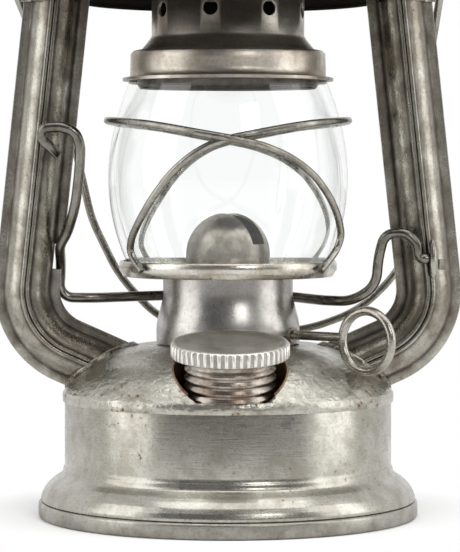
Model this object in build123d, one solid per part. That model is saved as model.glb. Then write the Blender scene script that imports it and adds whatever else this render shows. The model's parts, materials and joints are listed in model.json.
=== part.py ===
from build123d import *
import os
from math import atan2, cos, degrees, pi, radians, sin, sqrt, tan

# Barn lantern, small tubular pattern. Millimetres, +Z up, front is -Y, origin at the
# centre of the foot on the surface that it stands on.

# ---------------------------------------------------------------- driving dimensions
sheet = 0.6  # thickness of the pressed steel sheet
running_gap = 0.06  # radial clearance of a pin in its hole
rest_gap = 0.3  # gap between curved pieces that rest on or pass each other

# tank
foot_radius = 52.4
foot_height = 4.4
foot_land = 2.6  # width of the ring that the lantern stands on
floor_recess = 2.2  # height of the tank floor above that ring
flare_step = 0.7  # how far the bulge above the foot lies inside it
flare_top = 13.7  # height where the bulge meets the straight wall
wall_step = 7.3  # how far the straight wall lies inside the foot
wall_top = 34.0
rim_overhang = 0.6  # how far the crimped rim stands out from the wall
rim_depth = 2.3
dome_flat_radius = 22.0
dome_top = 47.3
burner_hole_radius = 16.6

# filler
filler_x = 0.6
filler_y = -33.9
filler_lean = 8.9  # degrees towards the front
well_half_width = 15.4
well_half_depth = 12.9
neck_radius = 11.3
thread_height = 0.8  # how far each rolled thread ridge stands out
thread_pitch = 2.3
thread_count = 4
neck_length = 11.9
gasket_height = 0.9
cap_radius = 15.7
cap_height = 3.9
cap_rib_count = 50
cap_rib_depth = 0.45
plug_length = 6.6

# burner
burner_seat_depth = 8.7  # below the tank's dome
pan_depth = 6.3  # depth of the burner's inner pan below the tank's dome
pan_wall_height = 5.6
skirt_top_radius = 17.9
skirt_foot_radius = 19.8
skirt_height = 18.6  # above the tank's dome
skirt_flare_foot = 3.4  # height above the skirt's foot where it starts to draw in
skirt_flare_rise = 10.8
deck_height = 0.8
burner_dome_radius = 11.6
burner_dome_height = 17.1  # above the deck
slot_width = 5.0
wick_width = 10.6
wick_thickness = 2.0
wick_foot = 6.0
wick_depth = 4.2  # how far the wick's top lies below the flame dome's crown
wick_tube_foot = 30.0
wick_tube_depth = 5.4
wick_turn = -40.0  # direction of the slot and of the raiser shaft, seen from above

# wick raiser
raiser_rise = 3.1  # height of the raiser shaft above the tank's dome
raiser_wire = 2.5
wheel_radius = 3.0
wheel_teeth = 12
wheel_width = 1.0
raiser_reach = 36.6  # from the wick's centre along the shaft to the loop
raiser_loop_radius = 8.1  # to the middle of the wire
raiser_loop_drop = 0.7  # how far the loop hangs below the line of the shaft
raiser_bush_length = 3.2

# side tubes
tube_half_width = 6.4  # across, towards the globe
tube_half_depth = 7.5  # front to back
fin_width = 2.6  # how far the pressed rib stands out, inside and outside
fin_thickness = 1.6
seam_width = 1.3  # each half shell's share of the raised seam
seam_height = 0.9
elbow_x = 37.0  # centre of the bottom elbow
elbow_z = 62.4
elbow_radius = 18.5
foot_slope = 24.0  # degrees below level where the tube meets the dome
lean = 6.1  # degrees that the straight part leans inwards
shoulder_start = 157.0  # height where the top elbow starts
shoulder_radius = 16.0
foot_rim_width = 1.3
foot_rim_height = 1.0

# air chamber, canopy and chimney
chamber_radius = 24.0
chamber_half_height = 9.0
canopy_rim_radius = 41.4
canopy_rim_height = 141.8
canopy_rim_roll = 0.7
guide_radius = 17.2
guide_top = 192.0
pipe_radius = 13.2
pipe_top = 206.0
collar_flange_radius = 29.0
collar_radius = 26.8
collar_foot = 119.8
collar_band_height = 7.4
shoulder_rise = 11.9  # from the collar's foot to the foot of the perforated part
vent_radius = 21.0
vent_height = 11.5  # of the perforated part
vent_hole = 4.1
vent_hole_rise = 7.1  # above the foot of the perforated part
vent_count = 8
vent_first_angle = -148.0
lip_radius = 25.2
lip_depth = 1.5
crown_skirt_radius = 24.0
crown_cap_radius = 20.0
crown_cap_height = 8.0
crown_hole = 4.4
crown_hole_count = 10
spring_wire = 1.2
spring_turns = 5

# globe and its plate
plate_radius = 30.0
plate_height = 3.4
plate_lip_depth = 1.0
plate_gap = 0.3  # between the burner's deck and the plate that rests round it
air_hole = 2.6
air_hole_count = 16
glass = 1.5
globe_foot_radius = 27.0
globe_belly_radius = 33.0
globe_mouth_radius = 27.3
guard_wire = 2.0
guard_bow = 7.4  # how much further out the right-hand guard wire is bowed than the left

# lift lever
lever_wire = 2.8
lever_pivot_z = 71.2

# bail and lifting ring
bail_wire = 2.2
ear_height = 153.0
bail_span = 61.4  # from the middle plane to the middle of each leg at its pivot
bail_hang = 19.5  # degrees behind straight down
ear_radius = 3.3
strap_foot = 141.6
strap_height = 16.0
ring_wire = 2.0
ring_radius = 9.0

# ---------------------------------------------------------------- worked-out sizes
flare_radius = foot_radius - flare_step
wall_radius = foot_radius - wall_step
dome_arc_x = dome_flat_radius
dome_edge_radius = wall_radius + 0.2
dome_edge_height = wall_top + 0.7
dome_run = dome_edge_radius - dome_arc_x
dome_rise = dome_top - dome_edge_height
dome_arc_radius = (dome_run**2 + dome_rise**2) / (2 * dome_rise)
dome_arc_z = dome_top - dome_arc_radius

lean_normal = Vector(cos(radians(lean)), 0, sin(radians(lean)))
arm_foot = Vector(elbow_x, 0, elbow_z) + lean_normal * elbow_radius


def arm_x(z):
    """Distance of the straight part's middle line from the axis at a height."""
    return arm_foot.X - (z - arm_foot.Z) * tan(radians(lean))


shoulder_foot = Vector(arm_x(shoulder_start), 0, shoulder_start)
shoulder_centre = shoulder_foot - lean_normal * shoulder_radius
chamber_z = shoulder_centre.Z + shoulder_radius
chamber_floor = chamber_z - chamber_half_height
chamber_top = chamber_z + chamber_half_height

neck_base = Vector(filler_x, filler_y, dome_edge_height)
neck_dir = Vector(0, -sin(radians(filler_lean)), cos(radians(filler_lean)))
wick_dir = Vector(cos(radians(wick_turn)), sin(radians(wick_turn)), 0)
wick_side = Vector(-wick_dir.Y, wick_dir.X, 0)
skirt_top = dome_top + skirt_height
deck_top = skirt_top + deck_height
burner_dome_crest = deck_top + burner_dome_height
wick_crest = burner_dome_crest - wick_depth
wick_tube_crest = burner_dome_crest - wick_tube_depth
burner_seat_foot = dome_top - burner_seat_depth
pan_floor = dome_top - pan_depth
raiser_height = dome_top + raiser_rise
plate_floor = deck_top + plate_gap
plate_top = plate_floor + plate_height
shoulder_height = collar_foot + shoulder_rise
vent_top = shoulder_height + vent_height
vent_hole_height = shoulder_height + vent_hole_rise
shaft_offset = wick_thickness / 2 + wheel_radius + 0.12
shaft_origin = wick_side * shaft_offset + Vector(0, 0, raiser_height)
wick_tube_gap = 0.3

os.makedirs("parts", exist_ok=True)


# ---------------------------------------------------------------- helpers
def save(name, shape):
    """Writes one sub-part."""
    part = shape if isinstance(shape, Compound) else Part() + shape
    part.label = name
    export_step(part, f"parts/{name}.step")


def turned(points):
    """Solid of revolution about Z from a closed outline of (radius, height) points."""
    outline = make_face(Polyline(*[(r, 0, z) for r, z in points], close=True))
    return revolve(outline, axis=Axis.Z)


def thick_line(points, thickness):
    """Closed outline of sheet metal that lies to the right of a line of points."""
    offset = []
    for i, (r, z) in enumerate(points):
        before = points[max(i - 1, 0)]
        after = points[min(i + 1, len(points) - 1)]
        ways = []
        for start, end in ((before, (r, z)), ((r, z), after)):
            length = sqrt((end[0] - start[0]) ** 2 + (end[1] - start[1]) ** 2)
            if length > 0:
                ways.append(((end[1] - start[1]) / length, -(end[0] - start[0]) / length))
        nr = sum(way[0] for way in ways) / len(ways)
        nz = sum(way[1] for way in ways) / len(ways)
        scale = thickness / (nr**2 + nz**2)
        offset.append((r + nr * scale, z + nz * scale))
    return list(points) + offset[::-1]


def disc(radius, z0, z1, x=0, y=0):
    """Upright cylinder between two heights."""
    return Pos(x, y, (z0 + z1) / 2) * Cylinder(radius, z1 - z0)


def ring(outer, inner, z0, z1):
    """Upright ring between two heights."""
    return disc(outer, z0, z1) - disc(inner, z0 - 1, z1 + 1)


def rod(start, end, radius):
    """Round bar between two points."""
    way = Vector(end) - Vector(start)
    face = Plane(origin=start, z_dir=way) * Circle(radius)
    return extrude(face, amount=way.length)


def bend_radii(points, largest):
    """Radius for each corner of a wire, as large as its two runs allow."""
    radii = []
    for before, corner, after in zip(points, points[1:], points[2:]):
        first = Vector(corner) - Vector(before)
        second = Vector(after) - Vector(corner)
        turn = radians(first.get_angle(second))
        shorter = min(first.length, second.length)
        radii.append(min(largest, 0.45 * shorter / tan(turn / 2)))
    return radii


def bent_wire(points, diameter, largest=40.0):
    """Round wire along straight runs joined by arcs."""
    path = FilletPolyline(*points, radius=bend_radii(points, largest))
    start = path @ 0
    section = Plane(origin=start, z_dir=path % 0) * Circle(diameter / 2)
    return sweep(section, path=path)


def mirrored(shape):
    """The same piece for the left side."""
    return mirror(shape, about=Plane.YZ)


# ---------------------------------------------------------------- tank
def tank_bottom():
    land = foot_radius - foot_land
    outline = [
        (0, floor_recess), (land - 1.0, floor_recess), (land, 0), (foot_radius - 0.6, 0),
        (foot_radius, 0.6), (foot_radius, foot_height - 0.5), (foot_radius - 0.5, foot_height),
        (foot_radius - 2.4, foot_height), (foot_radius - 2.4, foot_height - sheet),
        (foot_radius - 1.4, foot_height - sheet - 0.4), (foot_radius - 1.4, 1.4),
        (land + 0.6, 1.4), (land - 0.6, floor_recess + sheet), (0, floor_recess + sheet),
    ]
    return turned(outline)


def tank_wall():
    bulge = [
        (foot_radius - 2.4, foot_height), (flare_radius, foot_height), (flare_radius, 5.6),
        (flare_radius - 0.7, 7.4), (flare_radius - 1.8, 9.0), (flare_radius - 3.4, 10.4),
        (wall_radius + 1.6, 11.5), (wall_radius + 0.5, 12.4), (wall_radius + 0.5, flare_top),
        (wall_radius, flare_top + 0.5), (wall_radius, wall_top),
    ]
    outer = turned(bulge + [(0, wall_top), (0, foot_height)])
    hollow = [
        (foot_radius - 3.2, foot_height), (flare_radius - 1.0, foot_height + 1.2),
        (flare_radius - 1.6, 7.0), (flare_radius - 2.7, 8.5), (flare_radius - 4.2, 9.7),
        (wall_radius - 0.1, 11.2), (wall_radius - sheet, 12.4), (wall_radius - sheet, wall_top),
    ]
    inner = turned([(0, foot_height)] + hollow + [(0, wall_top)])
    return outer - inner


def dome_solid(grow=0.0):
    """Everything under the dome's outer face, moved outwards by grow."""
    crest = dome_top + grow
    edge = dome_edge_radius + grow * dome_run / dome_arc_radius
    edge_z = dome_edge_height + grow * (dome_edge_height - dome_arc_z) / dome_arc_radius
    radius = dome_arc_radius + grow
    middle = radians(90 - 0.5 * degrees(atan2(dome_run, dome_edge_height - dome_arc_z)))
    on_arc = (dome_arc_x + radius * cos(middle), 0, dome_arc_z + radius * sin(middle))
    lines = [
        Line((0, 0, crest), (dome_arc_x, 0, crest)),
        ThreePointArc((dome_arc_x, 0, crest), on_arc, (edge, 0, edge_z)),
        Line((edge, 0, edge_z), (edge, 0, wall_top)),
        Line((edge, 0, wall_top), (0, 0, wall_top)),
        Line((0, 0, wall_top), (0, 0, crest)),
    ]
    return revolve(make_face(lines), axis=Axis.Z)


def well_cutter(grow, floor):
    """Upright oval column round the filler, from the well's floor up."""
    shape = Pos(filler_x, filler_y, floor) * Ellipse(well_half_width + grow, well_half_depth + grow)
    return extrude(shape, amount=30)


def neck_cutter(radius):
    """Long cylinder along the neck's axis."""
    return rod(neck_base - neck_dir * 8, neck_base + neck_dir * 40, radius)


well_floor = dome_edge_height
well_wall = 0.5
crown_skirt_foot = chamber_top + 3.0
crown_skirt_rise = 13.8


def tank_top(tube_hole):
    rim_radius = wall_radius + rim_overhang
    rim = turned([
        (wall_radius, wall_top - rim_depth + 0.3), (rim_radius - 0.2, wall_top - rim_depth),
        (rim_radius, wall_top - rim_depth + 0.4), (rim_radius, wall_top + 0.2),
        (rim_radius - 0.4, dome_edge_height), (wall_radius - 1.6, dome_edge_height),
        (wall_radius - 1.6, wall_top), (wall_radius, wall_top),
    ])
    shell = dome_solid() - dome_solid(-sheet)
    shell = shell - disc(burner_hole_radius, 30, 60)
    shell = shell - tube_hole - mirrored(tube_hole)
    shell = shell - well_cutter(0, wall_top - 1)
    front_rim = rim - neck_cutter(neck_radius - sheet)
    return shell + front_rim


def filler_well():
    """Sunk oval cup in the dome that the neck stands in."""
    cup = well_cutter(0, wall_top) - well_cutter(-well_wall, well_floor)
    cup = cup & dome_solid()
    cup = cup & disc(wall_radius - 1.6, 0, 60)
    return cup - neck_cutter(neck_radius - sheet)


def filler_neck():
    outline = [(neck_radius - sheet, -neck_radius / 2), (neck_radius, -neck_radius / 2)]
    first = 1.0
    for i in range(thread_count):
        z = first + i * thread_pitch
        outline += [
            (neck_radius, z), (neck_radius + thread_height, z + 0.5),
            (neck_radius + thread_height, z + 1.1), (neck_radius, z + 1.6),
        ]
    outline += [
        (neck_radius, neck_length - 0.8), (neck_radius + 0.6, neck_length - 0.6),
        (neck_radius + 0.6, neck_length), (neck_radius - sheet, neck_length),
    ]
    neck = turned(outline)
    return Plane(origin=neck_base, z_dir=neck_dir) * neck & neck_keep()


def neck_keep():
    """Space above the well's floor."""
    return disc(200, well_floor, 200)


cap_seat = neck_length + gasket_height
plug_radius = neck_radius - sheet - running_gap


def on_neck(shape):
    """Moves a piece made about Z onto the neck's axis."""
    return Plane(origin=neck_base, z_dir=neck_dir) * shape


def cap_gasket():
    return on_neck(ring(neck_radius + 0.8, plug_radius + 0.1, neck_length, cap_seat - running_gap))


def filler_cap():
    body = turned([
        (0, cap_seat), (cap_radius - 1.2, cap_seat), (cap_radius - 1.2, cap_seat - 0.9),
        (cap_radius - 0.3, cap_seat - 0.9), (cap_radius, cap_seat - 0.5),
        (cap_radius, cap_seat + cap_height - 1.6), (cap_radius - 0.7, cap_seat + cap_height - 0.9),
        (cap_radius - 2.2, cap_seat + cap_height - 0.9), (cap_radius - 3.4, cap_seat + cap_height - 1.5),
        (4.0, cap_seat + cap_height - 1.9), (0, cap_seat + cap_height - 1.9),
    ])
    groove = Pos(cap_radius + 0.25, 0, cap_seat + 1.2) * Cylinder(cap_rib_depth + 0.3, 5.4)
    for i in range(cap_rib_count):
        body = body - Rot(0, 0, 360 * i / cap_rib_count) * groove
    return on_neck(body)


def cap_plug():
    return on_neck(ring(plug_radius, plug_radius - 1.0, cap_seat - plug_length, cap_seat))


# ---------------------------------------------------------------- side tubes
def tube_section(kind):
    """Section across a tube; +X is outwards. Kinds: outer, inner, envelope, bore."""
    oval = Ellipse(tube_half_width, tube_half_depth)
    bore = Ellipse(tube_half_width - sheet, tube_half_depth - sheet)
    fin = Pos(tube_half_width + fin_width / 2 - 0.3, 0) * Rectangle(fin_width + 0.6, fin_thickness)
    seam = Rectangle(2 * seam_width, 2 * (tube_half_depth + seam_height))
    if kind == "bore":
        return bore
    whole = oval + fin + mirror(fin, about=Plane.YZ) + seam
    if kind == "envelope":
        return whole
    shell = whole - bore
    side = 1 if kind == "outer" else -1
    return shell & Pos(side * 20, 0) * Rectangle(40, 40)


def tube_path():
    """Middle line of the right tube, from the air chamber down into the dome."""
    top = Vector(chamber_radius - 3, 0, chamber_z)
    over = Vector(shoulder_centre.X, 0, chamber_z)
    half = radians(90 - (90 - lean) / 2)
    shoulder_mid = shoulder_centre + Vector(cos(half), 0, sin(half)) * shoulder_radius
    end_angle = radians(-90 + foot_slope)
    elbow_end = Vector(elbow_x, 0, elbow_z) + Vector(cos(end_angle), 0, sin(end_angle)) * elbow_radius
    mid_angle = (radians(lean) + end_angle) / 2
    elbow_mid = Vector(elbow_x, 0, elbow_z) + Vector(cos(mid_angle), 0, sin(mid_angle)) * elbow_radius
    slope = radians(foot_slope)
    foot = elbow_end + Vector(-cos(slope), 0, -sin(slope)) * 24
    return Wire([
        Edge.make_line(top, over),
        Edge.make_three_point_arc(over, shoulder_mid, shoulder_foot),
        Edge.make_line(shoulder_foot, arm_foot),
        Edge.make_three_point_arc(arm_foot, elbow_mid, elbow_end),
        Edge.make_line(elbow_end, foot),
    ])


def along_tube(section):
    """Sweeps a section down the right tube."""
    start = Plane(origin=(chamber_radius - 3, 0, chamber_z), x_dir=(0, 0, 1), z_dir=(1, 0, 0))
    return sweep(start * section, path=tube_path(), transition=Transition.TRANSFORMED)


dome = dome_solid()
tube_envelope = along_tube(tube_section("envelope"))
tube_bore = along_tube(tube_section("bore"))
chamber_outer = disc(chamber_radius, chamber_floor, chamber_top)


def tube_shell(kind, notch=None):
    shell = along_tube(tube_section(kind)) - dome - chamber_outer - disc(dome_edge_radius, 0, wall_top)
    return shell if notch is None else shell - notch


def tube_foot_rim():
    """Rolled bead where the tube stands on the dome."""
    wide = Ellipse(tube_half_width + foot_rim_width, tube_half_depth + foot_rim_width)
    column = along_tube(wide)
    skin = dome_solid(foot_rim_height) - dome
    bead = column & skin & disc(wall_radius, 0, 60) - tube_envelope
    fins = along_tube(Rectangle(2 * (tube_half_width + fin_width + 0.7), fin_thickness + 1.6))
    bead = bead + (fins & skin & disc(wall_radius, 0, 60) - tube_envelope)
    inside = ring(wall_radius, skirt_foot_radius + 0.1, 30, 60)
    return bead & inside


def air_duct():
    """Trough under the dome that carries air from the tubes to the burner."""
    half = tube_half_depth + 4.6
    floor = wall_top - 2.0
    reach = wall_radius - 1.7
    height = 18
    outer = Pos(0, 0, floor + height / 2) * Box(120, 2 * half, height) & disc(reach, 0, 60)
    inner = Pos(0, 0, floor + sheet + height / 2) * Box(120, 2 * half - 2 * sheet, height)
    inner = inner & disc(reach - sheet, 0, 60)
    under_dome = dome_solid(-sheet) + disc(reach, floor, wall_top)
    return (outer & under_dome) - inner - wick_hole(floor, floor + 1) - burner_seat_space()


def wick_slot(width, thickness, z0, z1):
    """Flat upright column with round ends, turned to the wick's direction."""
    flat = SlotOverall(width, thickness)
    return Pos(0, 0, z0) * Rot(0, 0, wick_turn) * extrude(flat, amount=z1 - z0)


tube_width = wick_width + 2 * wick_tube_gap + 2 * sheet
tube_thickness = wick_thickness + 2 * wick_tube_gap + 2 * sheet


def wick_hole(z0, z1):
    return wick_slot(tube_width, tube_thickness, z0 - 2, z1 + 2)


def burner_seat_space():
    return disc(burner_hole_radius, burner_seat_foot, 60)


# ---------------------------------------------------------------- burner
def burner_seat():
    """Threaded ring in the dome's middle hole that the burner screws into."""
    seat = ring(burner_hole_radius, burner_hole_radius - 0.8, burner_seat_foot, dome_top)
    flange = ring(skirt_foot_radius - 1.2, burner_hole_radius - 0.8, dome_top, dome_top + 0.5)
    return seat + flange


def burner_base():
    """Pan that carries the wick tube inside the seat."""
    inner = burner_hole_radius - 0.8
    pan = disc(inner, pan_floor, pan_floor + sheet)
    for i in range(6):
        pan = pan - Rot(0, 0, 60 * i + 30) * disc(1.6, pan_floor - 1, pan_floor + 2, x=12.0)
    wall = ring(inner, inner - sheet, pan_floor, pan_floor + pan_wall_height)
    return pan + wall - wick_hole(pan_floor, pan_floor + 1)


def wick_tube():
    outer = wick_slot(tube_width, tube_thickness, wick_tube_foot, wick_tube_crest)
    width = tube_width - 2 * sheet
    inner = wick_slot(width, tube_thickness - 2 * sheet, wick_tube_foot - 1, wick_tube_crest + 1)
    window = Plane(origin=shaft_origin, z_dir=wick_dir, x_dir=wick_side)
    opening = extrude(window * Circle(wheel_radius + 0.5), amount=wick_width / 2 - 1.4, both=True)
    return outer - inner - opening


def burner_skirt():
    foot = dome_top + 0.5
    flare = skirt_foot_radius - skirt_top_radius
    line = [(skirt_foot_radius, foot)]
    for share in (0, 0.125, 0.25, 0.375, 0.5, 0.625, 0.75, 0.875, 1):
        radius = skirt_top_radius + flare * (1 + cos(share * pi)) / 2
        line.append((radius, foot + skirt_flare_foot + share * skirt_flare_rise))
    line.append((skirt_top_radius, skirt_top))
    skirt = turned(thick_line([(r - sheet, z) for r, z in line], sheet))
    bush = rod(shaft_origin, shaft_origin + wick_dir * 40, bush_radius)
    return skirt - bush


bush_radius = raiser_wire / 2 + running_gap + 0.7


def raiser_bush():
    """Short guide tube where the raiser shaft leaves the skirt."""
    reach = sqrt(skirt_foot_radius**2 - shaft_offset**2)
    start = shaft_origin + wick_dir * (reach - raiser_bush_length)
    end = start + wick_dir * (raiser_bush_length + 0.6)
    return rod(start, end, bush_radius) - rod(start - wick_dir, end + wick_dir, raiser_wire / 2 + running_gap)


def burner_deck():
    """Flat ring on top of the skirt that carries the flame dome."""
    deck = ring(skirt_top_radius, burner_dome_radius - 2.4, skirt_top, deck_top)
    for i in range(12):
        deck = deck - Rot(0, 0, 30 * i) * disc(0.9, skirt_top - 1, deck_top + 1, x=skirt_top_radius - 3.2)
    return deck


def flame_dome():
    """Domed cap over the wick with a slot for the flame."""
    foot = deck_top
    radius = burner_dome_radius
    spring_z = burner_dome_crest - radius  # height where the round crown starts

    def solid(r):
        side = Line((r, 0, foot), (r, 0, spring_z))
        crest = ThreePointArc((r, 0, spring_z), (r * cos(pi / 4), 0, spring_z + r * sin(pi / 4)),
                              (0, 0, spring_z + r))
        return revolve(make_face([side, crest, Line((0, 0, spring_z + r), (0, 0, foot)),
                                  Line((0, 0, foot), (r, 0, foot))]), axis=Axis.Z)

    shell = solid(radius) - solid(radius - sheet)
    reach = 2 * radius + 2
    slot = Rot(0, 0, wick_turn) * Pos(0, 0, spring_z + 3.0 + radius / 2) * Box(reach, slot_width, radius)
    return shell - slot + ring(radius + 0.9, radius - sheet, foot, foot + 0.5)


def wick():
    return wick_slot(wick_width, wick_thickness, wick_foot, wick_crest)


def raiser():
    """Wire that turns the wheels, with its finger loop, as one bent wire."""
    start = shaft_origin - wick_dir * (wick_width / 2 + 1.5)
    neck = shaft_origin + wick_dir * raiser_reach
    shaft = rod(start, neck + wick_dir * 0.2, raiser_wire / 2)
    loop_centre = neck + wick_dir * (raiser_loop_radius + 0.1) - Vector(0, 0, raiser_loop_drop)
    face = Plane(origin=loop_centre, z_dir=wick_side)
    loop = face * Torus(raiser_loop_radius, raiser_wire / 2)
    return shaft + loop


def raiser_wheels():
    """Two toothed wheels on the raiser shaft that grip the wick."""
    wheels = Part()
    tooth = Rectangle(0.9, 0.7)
    for side in (-1, 1):
        centre = shaft_origin + wick_dir * side * (wick_width / 2 - 2.6)
        face = Plane(origin=centre, z_dir=wick_dir)
        flat = Circle(wheel_radius - 0.7)
        for i in range(wheel_teeth):
            flat = flat + Rot(0, 0, 360 * i / wheel_teeth) * Pos(wheel_radius - 0.55, 0) * tooth
        flat = flat - Circle(raiser_wire / 2)
        wheels = wheels + extrude(face * flat, amount=wheel_width / 2, both=True)
    return wheels


# ---------------------------------------------------------------- globe carriage
def globe_plate():
    rim = plate_radius
    floor = plate_floor
    outline = [
        (burner_dome_radius + 1.4, floor), (rim - 2.6, floor), (rim - 2.2, floor - plate_lip_depth),
        (rim - 1.0, floor + 0.2 - plate_lip_depth), (rim - 0.4, plate_top - 3.0),
        (rim, plate_top - 2.6), (rim, plate_top - 0.5), (rim - 0.4, plate_top),
        (rim - 1.0, plate_top), (rim - 1.1, floor + 1.4), (rim - 2.0, floor + sheet),
        (burner_dome_radius + 2.0, floor + sheet), (burner_dome_radius + 2.0, floor + 1.5),
        (burner_dome_radius + 1.4, floor + 1.5),
    ]
    plate = turned(outline)
    for i in range(air_hole_count):
        angle = 360 * (i + 0.5) / air_hole_count
        plate = plate - Rot(0, 0, angle) * disc(air_hole / 2, floor - 1, floor + 2, x=rim - 8.5)
    return plate


globe_seat = plate_floor + sheet + 0.3
globe_mouth = collar_foot - rest_gap


def globe():
    """Blown glass barrel of even thickness."""
    rise = globe_mouth - globe_seat
    low_radius = globe_foot_radius + 0.45 * (globe_belly_radius - globe_foot_radius)
    high_radius = globe_mouth_radius + 0.6 * (globe_belly_radius - globe_mouth_radius)
    heights = [globe_seat + share * rise for share in (0, 0.125, 0.45, 0.81, 1)]
    widths = [globe_foot_radius, low_radius, globe_belly_radius, high_radius, globe_mouth_radius]
    outer = Spline([(r, 0, z) for r, z in zip(widths, heights)])
    inner = Spline([(r - glass, 0, z) for r, z in zip(widths, heights)])
    foot = Line(inner @ 0, outer @ 0)
    mouth = Line(inner @ 1, outer @ 1)
    return revolve(make_face([outer, mouth, inner, foot]), axis=Axis.Z)


def guard_path(over, bow):
    """Right-hand guard wire: both ends on the right of the plate, the loop on the left.

    Each point gives how far it lies across, the share of the leg's outward bow that it takes,
    its distance from the axis and its height above the plate, in plate radii. over is how far
    its middle stands in front of the other wire, where the two cross."""
    front = 1.155 + over / plate_radius
    half = [
        (0.770, 0.24, 1.042, 0.042), (0.843, 0.30, 1.064, 0.140), (0.880, 0.42, 1.085, 0.228),
        (0.857, 0.68, 1.122, 0.353), (0.767, 0.90, 1.156, 0.533), (0.657, 1.00, 1.170, 0.713),
        (0.510, 1.00, 1.170, 0.910), (0.333, 0.84, 1.163, 1.066), (0.150, 0.48, front, 1.172),
        (-0.040, 0.10, front, 1.226), (-0.240, 0.0, front, 1.266), (-0.667, 0.0, 1.155, 1.347),
        (-0.950, 0.0, 1.15, 1.380), (-1.100, 0.0, 1.143, 1.395),
    ]
    reach = [(plate_radius * x + bow * share, plate_radius * r, plate_radius * z) for x, share, r, z in half]
    front_half = [(x, -sqrt(r**2 - x**2), plate_floor + z) for x, r, z in reach]
    return front_half + [(x, -y, z) for x, y, z in front_half[::-1]]


def guard_right():
    return bent_wire(guard_path(guard_wire + 0.1, guard_bow), guard_wire)


def guard_left():
    return mirrored(bent_wire(guard_path(0.0, 0.0), guard_wire))


# ---------------------------------------------------------------- chimney
def globe_collar():
    """Perforated collar that holds the globe's mouth."""
    line = [
        (collar_flange_radius, collar_foot), (collar_flange_radius, collar_foot + 0.8),
        (collar_radius + 0.2, collar_foot + 1.2), (collar_radius, collar_foot + collar_band_height),
        (collar_radius - 0.8, collar_foot + collar_band_height + 0.8),
        (collar_radius - 3.0, collar_foot + collar_band_height + 1.2),
        (vent_radius + 0.6, shoulder_height - 0.6), (vent_radius, shoulder_height + 0.4),
        (vent_radius, vent_top), (vent_radius - 1.0, vent_top + 0.9),
        (pipe_radius + 0.8, vent_top + 2.0), (pipe_radius, vent_top + 2.9),
    ]
    shell = turned(line + [(0, vent_top + 2.9), (0, collar_foot)])
    hollow = [
        (collar_radius - 1.0, collar_foot), (collar_radius - 0.8, collar_foot + collar_band_height - 0.2),
        (collar_radius - 3.4, collar_foot + collar_band_height + 0.4),
        (vent_radius - sheet, shoulder_height - 0.8), (vent_radius - sheet, vent_top - 0.3),
        (pipe_radius, vent_top + 1.2), (pipe_radius - sheet, vent_top + 2.9),
    ]
    shell = shell - turned([(0, collar_foot)] + hollow + [(0, vent_top + 2.9)])
    for i in range(vent_count):
        angle = vent_first_angle + 360 * i / vent_count
        hole = Rot(0, 0, angle) * rod((vent_radius - 4, 0, vent_hole_height),
                                      (vent_radius + 4, 0, vent_hole_height), vent_hole / 2)
        shell = shell - hole
    return shell


def mouth_ring():
    """Spring lip inside the collar that centres the globe's mouth."""
    foot = globe_mouth - lip_depth
    line = [
        (lip_radius - 0.8, foot), (lip_radius - 0.2, foot + 0.8), (lip_radius, collar_foot + 0.6),
        (collar_radius - 1.0, collar_foot + 1.0),
    ]
    return turned(thick_line([(r - sheet, z) for r, z in line], sheet))


def chimney_pipe():
    return ring(pipe_radius, pipe_radius - sheet, vent_top + 2.9, pipe_top)


def crown_skirt():
    """Rain skirt on the pipe, over the guide."""
    foot = crown_skirt_foot
    line = [
        (crown_skirt_radius, foot), (crown_skirt_radius - 1.6, foot + 5.0),
        (crown_skirt_radius - 4.4, foot + 10.5), (pipe_radius + 1.4, foot + 13.4),
        (pipe_radius + sheet, foot + crown_skirt_rise),
    ]
    return turned(thick_line([(r - sheet, z) for r, z in line], sheet)) - disc(pipe_radius, 0, 300)


def crown_band():
    """Perforated band between the skirt and the cap."""
    foot = crown_skirt_foot + crown_skirt_rise + 2 * sheet
    band = ring(pipe_radius + 2.4, pipe_radius + 2.4 - sheet, foot, pipe_top + 2.0)
    seat = ring(pipe_radius + 2.4, pipe_radius, foot - sheet, foot)
    for i in range(crown_hole_count):
        angle = 360 * (i + 0.5) / crown_hole_count
        z = (foot + pipe_top + 2.0) / 2
        band = band - Rot(0, 0, angle) * rod((pipe_radius - 2, 0, z), (pipe_radius + 6, 0, z), crown_hole / 2)
    return band + seat


cap_foot = pipe_top + 2.0


def crown_cap():
    """Domed cap that closes the crown."""
    line = [
        (crown_cap_radius, cap_foot - 1.6), (crown_cap_radius - 0.4, cap_foot + 0.2),
        (crown_cap_radius - 2.4, cap_foot + 2.6), (crown_cap_radius - 6.4, cap_foot + 4.8),
        (crown_cap_radius - 11.5, cap_foot + 6.2), (0, cap_foot + crown_cap_height - 1.0),
    ]
    outer = turned(line + [(0, cap_foot - 1.6)])
    hollow = [
        (crown_cap_radius - sheet, cap_foot - 1.6), (crown_cap_radius - 1.1, cap_foot),
        (pipe_radius + 2.5, cap_foot), (pipe_radius + 2.0, cap_foot + 3.4),
        (crown_cap_radius - 11.6, cap_foot + 5.5), (0, cap_foot + crown_cap_height - 1.8),
    ]
    return outer - turned(hollow + [(0, cap_foot - 1.6)])


hinge_height = cap_foot + crown_cap_height + 0.6
lug_length = 3.0


def ring_lug():
    """Folded loop on the cap that the lifting ring hangs in."""
    foot = cap_foot + crown_cap_height - 1.2
    radius = ring_wire / 2 + running_gap
    block = Pos(0, 0, (foot + hinge_height) / 2) * Box(lug_length, 4.0, hinge_height - foot)
    eye = rod((-lug_length / 2, 0, hinge_height), (lug_length / 2, 0, hinge_height), radius + 0.8)
    hole = rod((-lug_length, 0, hinge_height), (lug_length, 0, hinge_height), radius)
    return (block + eye) - hole - crown_cap()


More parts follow.
